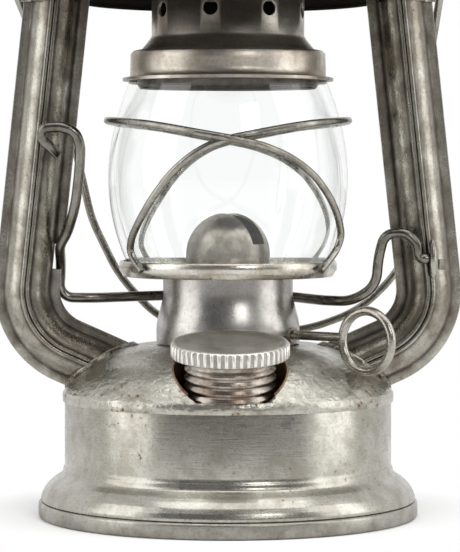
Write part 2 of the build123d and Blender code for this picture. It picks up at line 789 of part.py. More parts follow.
def lifting_ring():
    """Wire loop, straight through the lug, lying back on the cap."""
    side = lug_length / 2 + 1.2
    z = hinge_height
    far = 2 * ring_radius
    points = [
        (0.0, 0, z), (side + 2.4, 0, z), (ring_radius + 0.6, 3.2, z), (ring_radius + 0.6, far - 5.5, z),
        (ring_radius - 3.4, far, z), (-ring_radius + 3.4, far, z), (-ring_radius - 0.6, far - 5.5, z),
        (-ring_radius - 0.6, 3.2, z), (-side - 2.4, 0, z), (0.0, 0, z),
    ]
    half = bent_wire(points[:5] + [(0, far, z)], ring_wire)
    return half + mirrored(half)


# ---------------------------------------------------------------- air chamber and canopy
def chamber_shell(lower):
    """Half of the air chamber, with half of each tube's port."""
    inner = disc(chamber_radius - sheet, chamber_floor + sheet, chamber_top - sheet)
    shell = chamber_outer - inner - tube_bore - mirrored(tube_bore)
    bead = ring(chamber_radius + 0.7, chamber_radius, chamber_z - 0.8, chamber_z + 0.8)
    shell = shell + (bead - tube_envelope - mirrored(tube_envelope))
    shell = shell - disc(guide_radius, 0, 300)
    half = disc(60, 100, chamber_z) if lower else disc(60, chamber_z, 300)
    return shell & half


def chimney_guide():
    """Fixed sleeve that the chimney slides in."""
    sleeve = ring(guide_radius, guide_radius - sheet, chamber_floor, guide_top)
    top = ring(guide_radius, pipe_radius + 0.08, guide_top - sheet, guide_top)
    return sleeve + top


def spring_seat():
    """Ring on the pipe that carries the spring."""
    return ring(guide_radius - sheet - 0.5, pipe_radius, chamber_floor + 1.0, chamber_floor + 1.8)


def chimney_spring():
    """Coil that pushes the chimney down on the globe."""
    foot = chamber_floor + 1.8 + spring_wire / 2 + 0.1
    head = guide_top - sheet - spring_wire / 2 - 0.1
    radius = (pipe_radius + guide_radius - sheet) / 2
    path = Pos(0, 0, foot) * Helix(pitch=(head - foot) / spring_turns, height=head - foot, radius=radius)
    section = Plane(origin=path @ 0, z_dir=path % 0) * Circle(spring_wire / 2)
    return sweep(section, path=path, is_frenet=True)


def canopy():
    """Cone under the air chamber that turns the hot air outwards."""
    top = chamber_floor
    foot = canopy_rim_height
    line = [
        (canopy_rim_radius, foot), (canopy_rim_radius - 0.8, foot + 1.4),
        (canopy_rim_radius - 6.5, foot + 8.0), (canopy_rim_radius - 12.5, foot + 13.6),
        (chamber_radius + 0.2, top - 2.0), (chamber_radius - 0.6, top),
    ]
    shell = turned(thick_line([(r - sheet, z) for r, z in line], sheet))
    roll = Pos(0, 0, foot + 0.2) * Torus(canopy_rim_radius - 0.2, canopy_rim_roll)
    shell = shell + roll - chamber_outer
    return shell - tube_envelope - mirrored(tube_envelope)


# ---------------------------------------------------------------- bail
bail_pin_gap = 0.05
bail_bend = bail_wire  # radius of the bend beside each ear, to the middle of the wire


def bail_ear():
    """Strap round the tube's outer half with a boss for the bail."""
    band = Ellipse(tube_half_width + 0.8, tube_half_depth + 0.8)
    hug = Pos(tube_half_width + 0.3, 0) * Rectangle(2 * fin_width + 1.0, fin_thickness + 1.6)
    seam = Rectangle(2 * seam_width + 1.6, 2 * (tube_half_depth + seam_height + 0.8))
    strap = along_tube((band + hug + seam) & Pos(20, 0) * Rectangle(40, 40))
    strap = strap & disc(200, strap_foot, strap_foot + strap_height)
    start = (arm_x(ear_height) + tube_half_width - 2, 0, ear_height)
    boss = rod(start, (bail_span - bail_bend - 0.3, 0, ear_height), ear_radius)
    hole = rod((arm_x(ear_height) + tube_half_width + fin_width + 0.4, 0, ear_height),
               (bail_span + 4, 0, ear_height), bail_wire / 2 + bail_pin_gap)
    return (strap + boss - tube_envelope) - hole


def bail():
    """Carrying wire, a little out of true, as it hangs behind the lantern."""
    pin = arm_x(ear_height) + tube_half_width + fin_width + 0.8
    shape = [
        (-1, 0), (-0.972, 0.104), (-0.821, 0.521), (-0.699, 0.912), (-0.635, 1.238), (-0.515, 1.515),
        (-0.332, 1.736), (-0.098, 1.818), (0.163, 1.821), (0.407, 1.785), (0.619, 1.697), (0.785, 1.521),
        (0.902, 1.270), (0.928, 0.879), (0.922, 0.423), (0.958, 0.137), (1, 0),
    ]
    flat = [(-pin, 0)] + [(x * bail_span, d * bail_span) for x, d in shape] + [(pin, 0)]
    hang = radians(bail_hang)
    points = [(x, d * sin(hang), ear_height - d * cos(hang)) for x, d in flat]
    radii = bend_radii(points, 40)
    radii[0] = radii[-1] = bail_bend
    path = FilletPolyline(*points, radius=radii)
    section = Plane(origin=path @ 0, z_dir=path % 0) * Circle(bail_wire / 2)
    return sweep(section, path=path)


# ---------------------------------------------------------------- lift lever
lever_notch_x = arm_x(lever_pivot_z + 2.5) - tube_half_width - rest_gap - lever_wire / 2
lever_end_x = 53.4
lever_end_y = -tube_half_depth - seam_height - lever_wire / 2 - rest_gap
lever_axis = Vector(lever_end_x + lever_notch_x, lever_end_y, 0).normalized()
lever_pivot = Vector(-lever_notch_x, 0, lever_pivot_z)


def lever_points():
    """Middle line of the lever, from its finger curl to its right-hand pin."""
    z = lever_pivot_z
    x = -lever_notch_x
    end = lever_pivot + lever_axis * ((lever_end_x - x) / lever_axis.X)
    return [
        (x + 0.2, -10.6, z + 28.2), (x - 4.2, -11.8, z + 32.8), (x - 3.9, -13.1, z + 35.4),
        (x + 0.6, -13.7, z + 36.0), (x + 5.0, -13.6, z + 34.6), (x + 6.4, -13.1, z + 30.6),
        (x + 6.0, -12.0, z + 23.6), (x + 4.7, -8.8, z + 14.2), (x + 2.2, -4.8, z + 6.8),
        (x, -2.9, z + 3.4), (x, 2.9, z - 2.6), (x - 0.7, 4.6, z - 11.2), (-38.0, 4.6, z - 11.4),
        (-24.6, 11.0, z - 11.2), (-12.6, 19.8, z - 11.2), (0.0, 21.8, z - 11.2), (12.6, 19.8, z - 11.2),
        (20.4, 9.8, z - 11.6), (27.0, 0.0, z - 11.9), (34.2, -4.0, z - 11.9), (40.6, -5.6, z - 7.6),
        (41.2, -6.8, z + 0.6), (42.8, -8.6, z + 6.8), (48.6, -10.1, z + 7.1), (51.8, -10.4, z + 3.6),
        tuple(end - lever_axis * 1.6), tuple(end + lever_axis * 2.6),
    ]


def lift_lever():
    return bent_wire(lever_points(), lever_wire)


def lever_space():
    """The notch in the left tube's fin that the lever passes through, on the right side."""
    return Pos(lever_notch_x - 0.2, 0, lever_pivot_z + 0.4) * Box(3.5, 8, 7.2)


def lever_socket():
    """Raised pocket on the right tube that holds the lever's pin."""
    x0 = lever_end_x + 0.6
    at = lever_pivot + lever_axis * ((x0 + 1.6 + lever_notch_x) / lever_axis.X)
    face = Plane(origin=(x0, at.Y, at.Z), x_dir=(0, 1, 0), z_dir=(1, 0, 0))
    pocket = extrude(face * Pos(0.6, 0) * Ellipse(2.9, 5.4), amount=3.4)
    bore = rod(at - lever_axis * 8, at + lever_axis * 8, lever_wire / 2 + running_gap)
    return pocket - tube_envelope - bore


# ---------------------------------------------------------------- assembly
def save_all():
    save("tank_bottom", tank_bottom())
    save("tank_wall", tank_wall())
    save("tank_top", tank_top(tube_bore))
    save("filler_well", filler_well())
    save("filler_neck", filler_neck())
    save("air_duct", air_duct())
    save("cap_gasket", cap_gasket())
    save("filler_cap", filler_cap())
    save("cap_plug", cap_plug())

    rim = tube_foot_rim()
    save("tube_foot_rim_right", rim)
    save("tube_foot_rim_left", mirrored(rim))
    save("right_tube_outer", tube_shell("outer"))
    save("right_tube_inner", tube_shell("inner"))
    save("left_tube_outer", mirrored(tube_shell("outer")))
    save("left_tube_inner", mirrored(tube_shell("inner", lever_space())))
    save("lever_socket", lever_socket())
    save("lift_lever", lift_lever())

    save("burner_seat", burner_seat())
    save("burner_base", burner_base())
    save("burner_skirt", burner_skirt())
    save("burner_deck", burner_deck())
    save("flame_dome", flame_dome())
    save("wick_tube", wick_tube())
    save("wick", wick())
    save("raiser_bush", raiser_bush())
    save("raiser_wire", raiser())
    save("raiser_wheels", raiser_wheels())

    save("globe_plate", globe_plate())
    save("globe", globe())
    save("guard_wire_right", guard_right())
    save("guard_wire_left", guard_left())

    save("globe_collar", globe_collar())
    save("mouth_ring", mouth_ring())
    save("chimney_pipe", chimney_pipe())
    save("spring_seat", spring_seat())
    save("crown_skirt", crown_skirt())
    save("crown_band", crown_band())
    save("crown_cap", crown_cap())
    save("ring_lug", ring_lug())
    save("lifting_ring", lifting_ring())

    save("air_chamber_lower", chamber_shell(True))
    save("air_chamber_upper", chamber_shell(False))
    save("chimney_guide", chimney_guide())
    save("chimney_spring", chimney_spring())
    save("canopy", canopy())
    ear = bail_ear()
    save("bail_ear_right", ear)
    save("bail_ear_left", mirrored(ear))
    save("bail", bail())


save_all()
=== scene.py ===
"""Barn lantern: the looks of every piece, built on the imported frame. Metres, +Z up, front is -Y."""
import json
from math import cos, pi, radians, sin

import bmesh
import bpy
from mathutils import Matrix, Vector

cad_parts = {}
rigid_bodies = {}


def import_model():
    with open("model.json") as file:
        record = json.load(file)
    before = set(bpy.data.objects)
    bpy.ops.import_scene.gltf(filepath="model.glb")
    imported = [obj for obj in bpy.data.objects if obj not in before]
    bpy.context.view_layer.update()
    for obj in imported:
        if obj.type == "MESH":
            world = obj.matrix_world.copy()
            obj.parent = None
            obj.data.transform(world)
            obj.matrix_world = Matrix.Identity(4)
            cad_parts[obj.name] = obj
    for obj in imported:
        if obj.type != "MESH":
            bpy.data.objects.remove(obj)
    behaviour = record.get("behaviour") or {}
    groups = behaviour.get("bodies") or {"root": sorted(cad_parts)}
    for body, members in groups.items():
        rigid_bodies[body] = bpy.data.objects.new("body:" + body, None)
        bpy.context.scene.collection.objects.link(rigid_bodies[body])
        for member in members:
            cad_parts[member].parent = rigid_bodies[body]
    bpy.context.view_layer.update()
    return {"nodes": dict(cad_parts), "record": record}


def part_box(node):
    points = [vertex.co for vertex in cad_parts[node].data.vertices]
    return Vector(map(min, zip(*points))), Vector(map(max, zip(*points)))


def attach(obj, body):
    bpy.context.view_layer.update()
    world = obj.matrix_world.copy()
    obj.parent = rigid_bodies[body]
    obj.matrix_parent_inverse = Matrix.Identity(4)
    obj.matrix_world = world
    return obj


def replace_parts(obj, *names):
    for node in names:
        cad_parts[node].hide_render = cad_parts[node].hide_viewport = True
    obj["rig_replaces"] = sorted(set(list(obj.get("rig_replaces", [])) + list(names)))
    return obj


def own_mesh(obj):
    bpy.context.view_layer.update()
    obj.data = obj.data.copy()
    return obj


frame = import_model()
record = frame["record"]
body_of = {node: body for body, nodes in record["behaviour"]["bodies"].items() for node in nodes}
slot_of = {part["node"]: part["material_slot"] for part in record["subparts"]}
MM = 0.001
TURN = 2 * pi


# ---------------------------------------------------------------- materials
class Finish:
    """One procedural material and the nodes that feed its shader."""

    def __init__(self, name):
        self.material = bpy.data.materials.new(name)
        self.material.use_nodes = True
        self.tree = self.material.node_tree
        self.shader = self.tree.nodes["Principled BSDF"]
        self.place = self.add("ShaderNodeTexCoord").outputs["Object"]

    def add(self, kind, settings=None, **sockets):
        made = self.tree.nodes.new(kind)
        for key, value in (settings or {}).items():
            setattr(made, key, value)
        for key, value in sockets.items():
            self.feed(made, key.replace("_", " "), value)
        return made

    def feed(self, made, socket, value):
        if isinstance(value, bpy.types.NodeSocket):
            self.tree.links.new(value, made.inputs[socket])
        else:
            made.inputs[socket].default_value = value

    def noise(self, scale, detail=4.0, roughness=0.6, stretch=None):
        """Noise with blotches of about 1/scale metres, drawn out along an axis by stretch."""
        place = self.place
        if stretch:
            place = self.add("ShaderNodeMapping", Vector=place, Scale=stretch).outputs[0]
        return self.add("ShaderNodeTexNoise", Vector=place, Scale=scale, Detail=detail,
                        Roughness=roughness).outputs["Fac"]

    def band(self, value, low, high, to_low=0.0, to_high=1.0):
        """Straight ramp between two values, held at both ends."""
        made = self.add("ShaderNodeMapRange", Value=value)
        for key, number in (("From Min", low), ("From Max", high), ("To Min", to_low), ("To Max", to_high)):
            made.inputs[key].default_value = number
        return made.outputs["Result"]

    def math(self, operation, first, second):
        made = self.add("ShaderNodeMath", {"operation": operation})
        for socket, value in zip(made.inputs, (first, second)):
            if isinstance(value, bpy.types.NodeSocket):
                self.tree.links.new(value, socket)
            else:
                socket.default_value = value
        return made.outputs[0]

    def blend(self, share, first, second):
        """Colour between two colours."""
        made = self.add("ShaderNodeMix", {"data_type": "RGBA"})
        for socket, value in zip((made.inputs[0], made.inputs[6], made.inputs[7]), (share, first, second)):
            if isinstance(value, bpy.types.NodeSocket):
                self.tree.links.new(value, socket)
            else:
                socket.default_value = value if isinstance(value, float) else (*value, 1.0)
        return made.outputs[2]

    def bump(self, height, distance, strength=1.0):
        made = self.add("ShaderNodeBump", Height=height, Distance=distance, Strength=strength)
        if self.shader.inputs["Normal"].is_linked:
            self.feed(made, "Normal", self.shader.inputs["Normal"].links[0].from_socket)
        self.feed(self.shader, "Normal", made.outputs[0])


RUST = (0.16, 0.062, 0.028)
# Dark brown of dirt, also used as painted shade.
SHADE_AND_GRIME = (0.05, 0.037, 0.028)
# Near black of soot, also used as painted shade.
SOOT_AND_SHADE = (0.012, 0.011, 0.01)


def worn_steel(name, bare, patina, patina_from, rust_from, roughness, pits=0.06, brushed=None, scratch=0.1,
               dents=0.0):
    """Bare steel sheet or wire: brown patina in blotches, rust specks, pits, dents and brushed lines."""
    made = Finish(name)
    broad = made.noise(48.0, 5.0, 0.62)
    cloud = made.noise(190.0, 6.0, 0.7)
    fine = made.noise(1300.0, 3.0, 0.6)
    speck = made.noise(760.0, 2.0, 0.5)
    lines = made.noise(1.0, 4.0, 0.65, brushed or (90.0, 90.0, 2600.0))
    mottled = made.math("ADD", made.math("MULTIPLY", broad, 0.6), made.math("MULTIPLY", cloud, 0.4))
    stained = made.band(mottled, patina_from, patina_from + 0.17)
    colour = made.blend(stained, bare, patina)
    dull = made.band(fine, 0.5, 0.76, 0.0, 0.4)
    colour = made.blend(dull, colour, tuple(0.45 * c for c in patina))
    rusty = made.math("MULTIPLY", made.band(speck, rust_from, rust_from + 0.035), made.band(broad, 0.44, 0.6))
    colour = made.blend(rusty, colour, RUST)
    # Painted shade with some dirt, read from the pieces' attribute: creases, grooves, recesses and low parts
    # darken, broken up by cloud noise.
    shade_and_grime = made.add("ShaderNodeAttribute", {"attribute_name": "shade_and_grime"}).outputs["Fac"]
    shade_and_grime = made.math("MULTIPLY", shade_and_grime, made.band(cloud, 0.3, 0.62, 0.55, 1.0))
    colour = made.blend(shade_and_grime, colour, SHADE_AND_GRIME)
    # Soot with painted shade, near black, read from the pieces' attribute.
    soot_and_shade = made.add("ShaderNodeAttribute", {"attribute_name": "soot_and_shade"}).outputs["Fac"]
    colour = made.blend(soot_and_shade, colour, SOOT_AND_SHADE)
    made.feed(made.shader, "Base Color", colour)
    rough = made.math("ADD", made.band(lines, 0.3, 0.7, roughness - 0.04, roughness + 0.05),
                      made.band(cloud, 0.35, 0.75, -0.03, 0.12))
    covered = made.math("ADD", made.math("ADD", rusty, shade_and_grime), made.math("MULTIPLY", soot_and_shade, 2.0))
    rough = made.math("ADD", rough, made.math("MULTIPLY", covered, 0.3))
    made.feed(made.shader, "Roughness", rough)
    made.feed(made.shader, "Metallic", made.band(covered, 0.0, 2.0, 1.0, 0.0))
    made.feed(made.shader, "Specular IOR Level", made.band(soot_and_shade, 0.0, 1.0, 0.5, 0.1))
    made.bump(lines, scratch * MM, 0.35)
    made.bump(cloud, pits * 2.2 * MM, 0.55)
    if dents:
        made.bump(made.noise(330.0, 3.0, 0.55, (1.0, 1.0, 1.5)), dents * MM, 0.7)
    made.bump(fine, pits * MM, 0.8)
    return made.material


def clear_glass():
    """Blown glass with faint waves and a few smudges."""
    made = Finish("clear_glass")
    made.shader.inputs["Base Color"].default_value = (0.985, 0.995, 0.99, 1.0)
    made.shader.inputs["Transmission Weight"].default_value = 1.0
    made.shader.inputs["IOR"].default_value = 1.45
    smudge = made.noise(60.0, 4.0, 0.6)
    made.feed(made.shader, "Roughness", made.band(smudge, 0.55, 0.8, 0.0, 0.06))
    made.bump(made.noise(34.0, 2.0, 0.4, (1.0, 1.0, 0.45)), 0.35 * MM, 0.3)
    return made.material


WICK_CHAR = (0.0755, 0.0788)    # heights between which the wick turns black


def wick_cotton():
    """Woven wick, scorched near its upper edge."""
    made = Finish("wick_cotton")
    weave = made.add("ShaderNodeTexWave", {"wave_type": "BANDS", "bands_direction": "Z"}, Vector=made.place,
                     Scale=430.0, Distortion=1.2).outputs["Fac"]
    rib = made.add("ShaderNodeTexWave", {"wave_type": "BANDS", "bands_direction": "X"}, Vector=made.place,
                   Scale=380.0, Distortion=0.6).outputs["Fac"]
    cloth = made.math("MULTIPLY", weave, rib)
    height = made.add("ShaderNodeSeparateXYZ", Vector=made.place).outputs["Z"]
    ragged = made.math("ADD", height, made.band(made.noise(900.0), 0.0, 1.0, -0.001, 0.001))
    char = made.band(ragged, *WICK_CHAR)
    colour = made.blend(cloth, (0.42, 0.37, 0.29), (0.7, 0.65, 0.54))
    made.feed(made.shader, "Base Color", made.blend(char, colour, (0.02, 0.018, 0.016)))
    made.feed(made.shader, "Roughness", made.band(cloth, 0.0, 1.0, 0.95, 0.8))
    made.bump(cloth, 0.25 * MM, 0.9)
    return made.material


def cork():
    """Pressed fibre gasket."""
    made = Finish("cork")
    grain = made.noise(1400.0, 5.0, 0.7)
    colour = made.blend(made.band(grain, 0.35, 0.65), (0.2, 0.12, 0.07), (0.42, 0.3, 0.2))
    made.feed(made.shader, "Base Color", colour)
    made.feed(made.shader, "Roughness", made.band(grain, 0.3, 0.7, 0.75, 0.95))
    made.bump(grain, 0.15 * MM, 0.8)
    return made.material


steels = {
    "tank_steel": dict(bare=(0.47, 0.457, 0.405), patina=(0.27, 0.247, 0.205), patina_from=0.48,
                       rust_from=0.64, roughness=0.27, pits=0.06, dents=0.55),
    "wall_steel": dict(bare=(0.45, 0.438, 0.39), patina=(0.33, 0.312, 0.265), patina_from=0.44,
                       rust_from=0.7, roughness=0.24, pits=0.012, scratch=0.06),
    "tube_steel": dict(bare=(0.4, 0.384, 0.335), patina=(0.2, 0.176, 0.142), patina_from=0.42,
                       rust_from=0.7, roughness=0.23, pits=0.05, brushed=(1700.0, 1700.0, 60.0)),
    # Darker copy of tube_steel, used as painted shade on the tubes' inner halves.
    "shaded_inner_tube_steel": dict(bare=(0.34, 0.32, 0.272), patina=(0.16, 0.14, 0.11), patina_from=0.41,
                             rust_from=0.7, roughness=0.24, pits=0.05, brushed=(1700.0, 1700.0, 60.0)),
    "wire_steel": dict(bare=(0.33, 0.318, 0.28), patina=(0.17, 0.155, 0.13), patina_from=0.44,
                       rust_from=0.72, roughness=0.24, pits=0.025),
    "lever_steel": dict(bare=(0.24, 0.23, 0.2), patina=(0.13, 0.118, 0.098), patina_from=0.42,
                        rust_from=0.74, roughness=0.2, pits=0.015),
    "ring_steel": dict(bare=(0.42, 0.4, 0.35), patina=(0.26, 0.235, 0.195), patina_from=0.46,
                       rust_from=0.74, roughness=0.22, pits=0.015),
    "burner_steel": dict(bare=(0.52, 0.5, 0.445), patina=(0.36, 0.328, 0.275), patina_from=0.46,
                         rust_from=0.74, roughness=0.3, pits=0.025),
    "plate_steel": dict(bare=(0.6, 0.58, 0.525), patina=(0.4, 0.36, 0.295), patina_from=0.46,
                        rust_from=0.72, roughness=0.25, pits=0.02),
    "skirt_steel": dict(bare=(0.45, 0.435, 0.41), patina=(0.36, 0.33, 0.3), patina_from=0.48,
                        rust_from=0.8, roughness=0.26, pits=0.004, brushed=(60.0, 60.0, 60.0), scratch=0.0),
    # Darker copy of the steel, used as painted shade on the mouth ring.
    "hidden_steel": dict(bare=(0.2, 0.185, 0.17), patina=(0.08, 0.07, 0.062), patina_from=0.45,
                         rust_from=0.7, roughness=0.45),
    "cap_steel": dict(bare=(0.78, 0.765, 0.715), patina=(0.6, 0.57, 0.5), patina_from=0.5, rust_from=0.72,
                      roughness=0.34, pits=0.04, brushed=(700.0, 700.0, 700.0)),
    "rusty_steel": dict(bare=(0.42, 0.385, 0.34), patina=(0.2, 0.15, 0.115), patina_from=0.44,
                        rust_from=0.7, roughness=0.26, pits=0.02),
    "well_steel": dict(bare=(0.36, 0.25, 0.16), patina=(0.2, 0.11, 0.06), patina_from=0.42, rust_from=0.5,
                       roughness=0.6, pits=0.12),
    "collar_steel": dict(bare=(0.55, 0.51, 0.45), patina=(0.36, 0.31, 0.25), patina_from=0.42,
                         rust_from=0.74, roughness=0.36, pits=0.02, scratch=0.05),
    "dome_steel": dict(bare=(0.5, 0.475, 0.42), patina=(0.33, 0.295, 0.245), patina_from=0.4,
                       rust_from=0.74, roughness=0.33, pits=0.025, brushed=(1500.0, 1500.0, 120.0)),
}
finishes = {name: worn_steel(name, **looks) for name, looks in steels.items()}
finishes.update(clear_glass=clear_glass(), wick_cotton=wick_cotton(), cork=cork())


# ---------------------------------------------------------------- helpers for shapes
def piece(bm, name, nodes, sharp=38.0, weld=1e-6, finish=None):
    """Closes a bmesh into an object that stands for CAD nodes and rides on their body."""
    bmesh.ops.remove_doubles(bm, verts=bm.verts, dist=weld)
    bmesh.ops.recalc_face_normals(bm, faces=bm.faces)
    mesh = bpy.data.meshes.new(name)
    bm.to_mesh(mesh)
    bm.free()
    mesh.shade_smooth()
    mesh.set_sharp_from_angle(angle=radians(sharp))
    mesh.materials.append(finishes[finish or slot_of[nodes[0]]])
    made = bpy.data.objects.new(name, mesh)
    bpy.context.scene.collection.objects.link(made)
    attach(made, body_of[nodes[0]])
    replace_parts(made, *nodes)
    return made


def smoothed(node, sharp=32.0):
    """Piece from a CAD node's own shape, with its doubles merged and its round faces shaded smooth."""
    bm = bmesh.new()
    bm.from_mesh(frame["nodes"][node].data)
    bmesh.ops.remove_doubles(bm, verts=bm.verts, dist=2e-6)
    bmesh.ops.dissolve_degenerate(bm, edges=bm.edges, dist=1e-6)
    if node in soot_and_shade_nodes:
        blacken(bm, node)
    if node == "filler_cap":
        darken_cap_grooves(bm)
    if node == "flame_dome":
        shade_dome_foot(bm)
    return piece(bm, node + "_piece", [node], sharp, finish=own_finish.get(node))


# Parts that get soot with painted shade on their inward faces, and the canopy also on its underside.
soot_and_shade_nodes = {"canopy", "globe_collar", "chimney_pipe", "crown_skirt", "crown_band", "crown_cap", "chimney_guide"}
own_finish = {"lift_lever": "lever_steel", "raiser_wire": "ring_steel", "burner_skirt": "skirt_steel",
              "filler_well": "well_steel", "globe_plate": "plate_steel", "globe_collar": "collar_steel",
              "flame_dome": "dome_steel", "mouth_ring": "hidden_steel", "canopy": "collar_steel",
              "air_chamber_lower": "collar_steel", "air_chamber_upper": "collar_steel"}


def blacken(bm, node):
    """Soot with painted shade on the faces that look in towards the flue, and on the canopy's faces that look
    down.
    """
    bm.normal_update()
    soot_and_shade = bm.faces.layers.float.new("soot_and_shade")
    for face in bm.faces:
        middle = face.calc_center_median()
        out = Vector((middle.x, middle.y, 0))
        inwards = -face.normal.dot(out.normalized()) if out.length > 1e-5 else 0
        below = -face.normal.z if node == "canopy" else 0
        face[soot_and_shade] = 1.0 if max(inwards, below) > 0.3 else 0.0


CAP_LEAN = radians(8.9)
CAP_FOOT = Vector((0.6, -33.9, 34.7)) * MM
CAP_GROOVES = (14.8 * MM, 15.42 * MM)


def darken_cap_grooves(bm):
    """Dirt with painted shade on the side faces of the grooves round the cap's rim."""
    bm.normal_update()
    shade_and_grime = bm.faces.layers.float.new("shade_and_grime")
    axis = Vector((0, -sin(CAP_LEAN), cos(CAP_LEAN)))
    for face in bm.faces:
        middle = face.calc_center_median() - CAP_FOOT
        out = middle - axis * middle.dot(axis)
        if abs(face.normal.dot(axis)) < 0.5 and CAP_GROOVES[0] < out.length < CAP_GROOVES[1]:
            face[shade_and_grime] = 0.6


FOOT_SHADE = 0.35
FOOT_SHADE_BELOW_TOP = 5.0 * MM
FOOT_SHADE_DEPTH = 3.0 * MM


def shade_dome_foot(bm):
    """Painted shade in brown over the lower part of the flame dome, growing towards the bottom."""
    shade_and_grime = bm.verts.layers.float.new("shade_and_grime")
    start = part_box("flame_dome")[1].z - FOOT_SHADE_BELOW_TOP
    for corner in bm.verts:
        corner[shade_and_grime] = FOOT_SHADE * min(max((start - corner.co.z) / FOOT_SHADE_DEPTH, 0.0), 1.0)


def lathe(outline, steps=144, rounding=0.0):
    """Closed outline of (radius, height) in millimetres, its corners rounded, spun about the middle axis."""
    bm = bmesh.new()
    corners = [bm.verts.new((r * MM, 0, z * MM)) for r, z in outline]
    for first, second in zip(corners, corners[1:] + corners[:1]):
        bm.edges.new((first, second))
    if rounding:
        bmesh.ops.bevel(bm, geom=[v for v in corners if v.co.x > 1e-6], offset=rounding * MM,
                        offset_type="OFFSET", segments=3, profile=0.5, affect="VERTICES", material=-1,
                        clamp_overlap=True)
    bmesh.ops.spin(bm, geom=bm.verts[:] + bm.edges[:], cent=(0, 0, 0), axis=(0, 0, 1), angle=TURN,
                   steps=steps, use_merge=True)
    bmesh.ops.remove_doubles(bm, verts=bm.verts, dist=1e-6)
    return bm


def sweep_on(bm, loop, straight):
    """Draws a loop of edges out along a straight run and returns the new loop."""
    drawn = bmesh.ops.extrude_edge_only(bm, edges=loop)["geom"]
    bmesh.ops.translate(bm, verts=[g for g in drawn if isinstance(g, bmesh.types.BMVert)], vec=straight)
    return [g for g in drawn if isinstance(g, bmesh.types.BMEdge)]


def bend_on(bm, loop, centre, angle, steps):
    """Turns a loop of edges about an axis across the lantern and returns the last loop."""
    corners = list(dict.fromkeys(v for e in loop for v in e.verts))
    spun = bmesh.ops.spin(bm, geom=loop + corners, cent=centre, axis=(0, 1, 0), angle=angle, steps=steps)
    return [g for g in spun["geom_last"] if isinstance(g, bmesh.types.BMEdge)]


# ---------------------------------------------------------------- side tubes
TUBE_HALF = (6.4, 7.5)
TUBE_SHEET = 0.6
CHAMBER_HEIGHT = 171.30
SHOULDER = Vector((29.59, 0, 155.30))
ELBOW = Vector((37.0, 0, 62.4))
SHOULDER_RADIUS = 16.0
ELBOW_RADIUS = 18.5
LEAN = radians(6.1)
FOOT_SLOPE = radians(24.0)
CHAMBER_RUN = 9.0
FOOT_RUN = 24.0
DOME_POINT = Vector((22.0, 0, 45.6)) * MM    # where the tank's dome cuts the tube off
DOME_NORMAL = (-0.4, 0, -0.917)
LEVER_NOTCH = (68.1, 75.1)
NOTCH_EDGE = 0.2
NOTCH_DEPTH = 6.5 * MM

# (outwards, towards the front, darkening) from the seam to the tip of the rib; the darkening is a dark seam
# line plus painted shade in the creases beside the bead and the fin
HALF_SHELL = [
    (0.05, 7.70, 0.8), (0.22, 8.18, 0.2), (0.55, 8.36, 0.0), (0.92, 8.30, 0.0), (1.20, 8.05, 0.2),
    (1.32, 7.66, 0.9), (1.52, 7.36, 1.0), (1.85, 7.18, 0.45), (2.4, 6.95, 0.1), (3.0, 6.62, 0.0),
    (3.6, 6.20, 0.0), (4.2, 5.66, 0.0), (4.8, 4.96, 0.05), (5.3, 4.20, 0.1), (5.7, 3.41, 0.2),
    (6.0, 2.61, 0.35), (6.2, 1.86, 0.6), (6.32, 1.32, 1.0), (6.52, 0.98, 1.0), (6.85, 0.84, 0.7),
    (7.35, 0.80, 0.25), (8.4, 0.80, 0.0), (8.8, 0.70, 0.0), (8.98, 0.38, 0.0), (9.0, 0.0, 0.1),
]


def tube_piece(node, side, outwards):
    """One pressed half of a side tube, from the air chamber down into the tank's dome."""
    outer = [(u, -v, g) for u, v, g in HALF_SHELL] + [(u, v, g) for u, v, g in HALF_SHELL[-2::-1]]
    bore_u, bore_v = TUBE_HALF[0] - TUBE_SHEET, TUBE_HALF[1] - TUBE_SHEET
    # The bore is darkened with painted shade.
    bore = [(0.05 + bore_u * sin(pi * k / 16), bore_v * cos(pi * k / 16), 0.4) for k in range(17)]
    bm = bmesh.new()
    shade_and_grime = bm.verts.layers.float.new("shade_and_grime")
    start = SHOULDER.x - CHAMBER_RUN
    ring = []
    for u, v, g in outer + bore:
        corner = bm.verts.new((start * MM, v * MM, (CHAMBER_HEIGHT + outwards * u) * MM))
        corner[shade_and_grime] = g
        ring.append(corner)
    loop = [bm.edges.new((a, b)) for a, b in zip(ring, ring[1:] + ring[:1])]
    bm.faces.new(ring)
    lean_down = Vector((sin(LEAN), 0, -cos(LEAN)))
    normal = Vector((cos(LEAN), 0, sin(LEAN)))
    run = (SHOULDER + normal * SHOULDER_RADIUS) - (ELBOW + normal * ELBOW_RADIUS)
    slope_down = Vector((-cos(FOOT_SLOPE), 0, -sin(FOOT_SLOPE)))
    loop = sweep_on(bm, loop, Vector((CHAMBER_RUN * MM, 0, 0)))
    loop = bend_on(bm, loop, SHOULDER * MM, pi / 2 - LEAN, 14)
    loop = sweep_on(bm, loop, lean_down * run.length * MM)
    loop = bend_on(bm, loop, ELBOW * MM, pi / 2 - FOOT_SLOPE + LEAN, 20)
    loop = sweep_on(bm, loop, slope_down * FOOT_RUN * MM)
    bmesh.ops.edgeloop_fill(bm, edges=loop)
    bmesh.ops.remove_doubles(bm, verts=bm.verts, dist=1e-6)
    bmesh.ops.bisect_plane(bm, geom=bm.verts[:] + bm.edges[:] + bm.faces[:], plane_co=DOME_POINT,
                           plane_no=DOME_NORMAL, clear_outer=True)
    bmesh.ops.holes_fill(bm, edges=[e for e in bm.edges if e.is_boundary], sides=0)
    if side < 0:
        bmesh.ops.scale(bm, verts=bm.verts, vec=(-1, 1, 1))
    return bm


